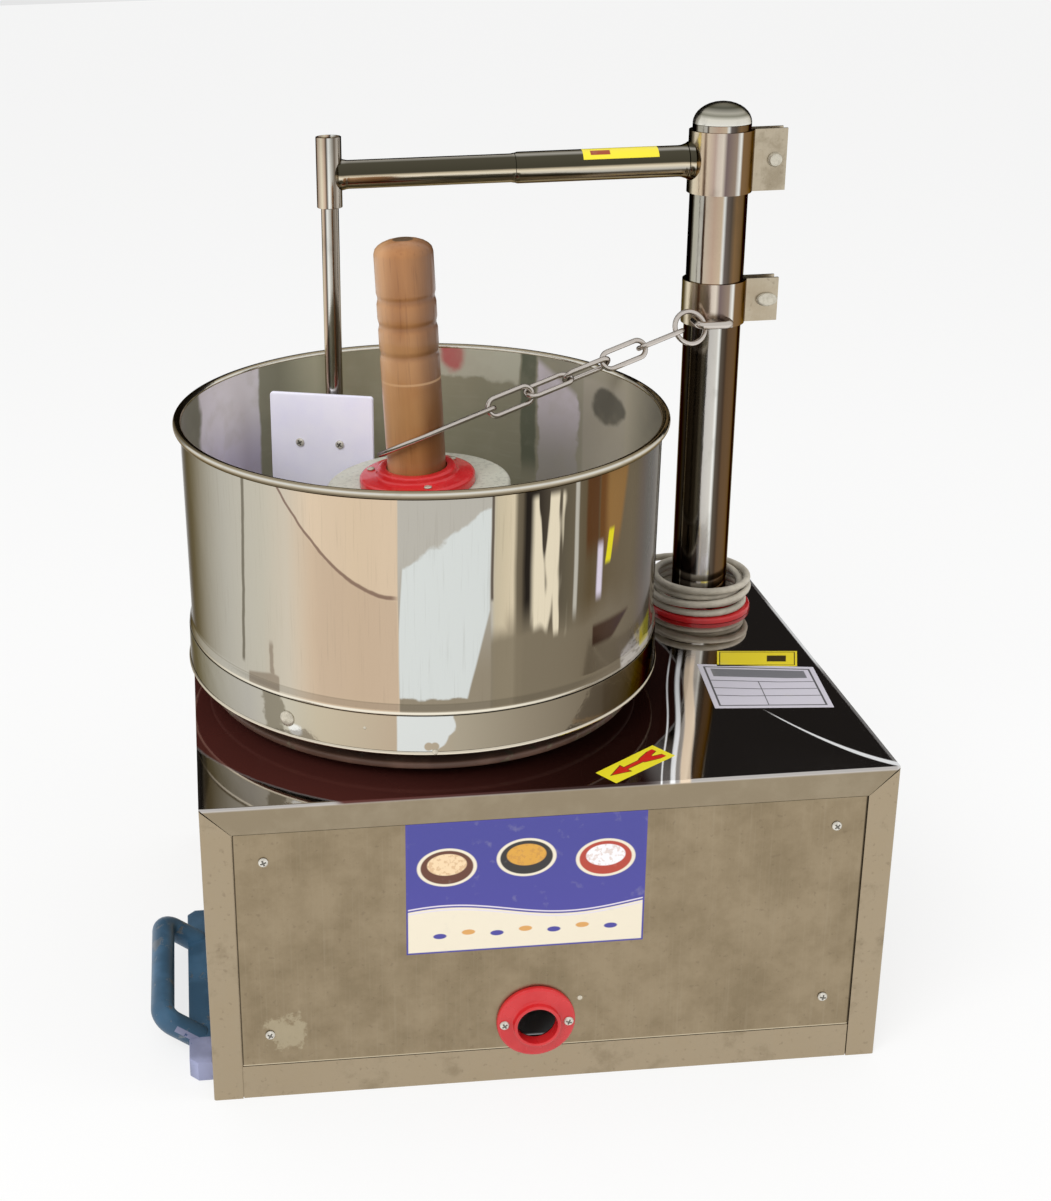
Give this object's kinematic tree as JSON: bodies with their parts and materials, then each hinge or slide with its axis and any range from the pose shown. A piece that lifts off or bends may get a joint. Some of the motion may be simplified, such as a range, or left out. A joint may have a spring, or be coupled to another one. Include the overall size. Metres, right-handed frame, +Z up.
{
  "type": "wet grinder",
  "caption": "Table-top wet grinder: sheet steel cabinet with a belt-driven steel drum, grinding stones held by a chain, and a column with a scraper arm.",
  "frame": {"origin": "middle of the machine's footprint on the floor, counted with its port and side handles and without the cord", "axes": "+X to the right seen from the front, +Y from the front to the back, +Z up"},
  "size_m": [0.6562, 0.4308, 0.7503],
  "materials": {
    "mirror_steel": "polished stainless steel",
    "satin_steel": "satin stainless sheet that mirrors a brown floor",
    "screw_steel": "bright machined steel",
    "dark_steel": "dark painted steel",
    "cast_iron": "dark casting",
    "red_plastic": "glossy red",
    "blue_paint": "blue paint, worn",
    "granite": "ground granite",
    "wood": "turned hardwood, lacquered",
    "white_plastic": "pale lavender plastic",
    "black_rubber": "black",
    "cord_grey": "grey sheath",
    "motor_paint": "dark green paint"
  },
  "bodies": {
    "cabinet": {"base_frame": "dark_steel", "bearing_housing": "cast_iron", "bearing_lower": "screw_steel", "bearing_upper": "screw_steel", "cabinet_deck": "mirror_steel", "cabinet_wrap": "satin_steel", "chain_clamp": "mirror_steel", "chain_clamp_bolt": "screw_steel", "chain_hook": "mirror_steel", "chain_link_1": "mirror_steel", "chain_link_2": "mirror_steel", "chain_link_3": "mirror_steel", "chain_link_4": "mirror_steel", "chain_link_5": "mirror_steel", "chain_ring": "mirror_steel", "column_cap": "mirror_steel", "column_tube": "mirror_steel", "cord_coil": "cord_grey", "cord_gland": "black_rubber", "cord_tail": "cord_grey", "deck_rail_left": "dark_steel", "deck_rail_right": "dark_steel", "drive_belt": "black_rubber", "foot_flange": "red_plastic", "front_frame": "satin_steel", "front_panel": "satin_steel", "handle_loop": "mirror_steel", "mains_plug": "black_rubber", "motor_body": "motor_paint", "motor_mount": "dark_steel", "panel_screw_1": "screw_steel", "panel_screw_2": "screw_steel", "panel_screw_3": "screw_steel", "panel_screw_4": "screw_steel", "port_flange": "red_plastic", "port_screw_1": "screw_steel", "port_screw_2": "screw_steel", "run_capacitor": "white_plastic", "side_handle_left": "blue_paint", "side_handle_right": "blue_paint"},
    "drum": {"drum_shell": "mirror_steel", "drum_skirt": "mirror_steel", "carrier_plate": "dark_steel", "drum_carrier": "cast_iron", "drum_stone": "granite", "main_shaft": "screw_steel", "drum_pulley": "cast_iron"},
    "motor_rotor": {"motor_shaft": "screw_steel", "motor_pulley": "cast_iron"},
    "pestle": {"pestle_stone": "granite", "pestle_collar": "red_plastic", "pestle_handle": "wood"},
    "arm": {"arm_clamp": "mirror_steel", "arm_clamp_bolt": "screw_steel", "arm_tube": "mirror_steel", "arm_extension": "mirror_steel"},
    "scraper": {"scraper_rod": "mirror_steel", "scraper_paddle": "white_plastic", "paddle_screw_1": "screw_steel", "paddle_screw_2": "screw_steel"}
  },
  "joints": [
    {"name": "drum_spin", "type": "hinge", "parent": "cabinet", "child": "drum", "pos_m": [-0.076, 0.00485, 0.272], "axis": [0, 0, 1], "continuous": true},
    {"name": "motor_spin", "type": "hinge", "parent": "cabinet", "child": "motor_rotor", "pos_m": [0.144, 0.00485, 0.17], "axis": [0, 0, 1], "continuous": true},
    {"name": "pestle_spin", "type": "hinge", "parent": "cabinet", "child": "pestle", "pos_m": [-0.076, 0.00485, 0.425], "axis": [-0.0523, 0, 0.9986], "continuous": true},
    {"name": "arm_swing", "type": "hinge", "parent": "cabinet", "child": "arm", "pos_m": [0.209, 0.12385, 0.6975], "axis": [0, 0, 1], "range_deg": [-2, 2]},
    {"name": "scraper_swivel", "type": "hinge", "parent": "arm", "child": "scraper", "pos_m": [-0.1376, 0.12385, 0.6995], "axis": [0, 0, 1], "range_deg": [-10, 80]}
  ],
  "couplings": [
    {"joint": "motor_spin", "follows": "drum_spin", "ratio": 6.6667},
    {"joint": "pestle_spin", "follows": "drum_spin", "ratio": 1}
  ]
}
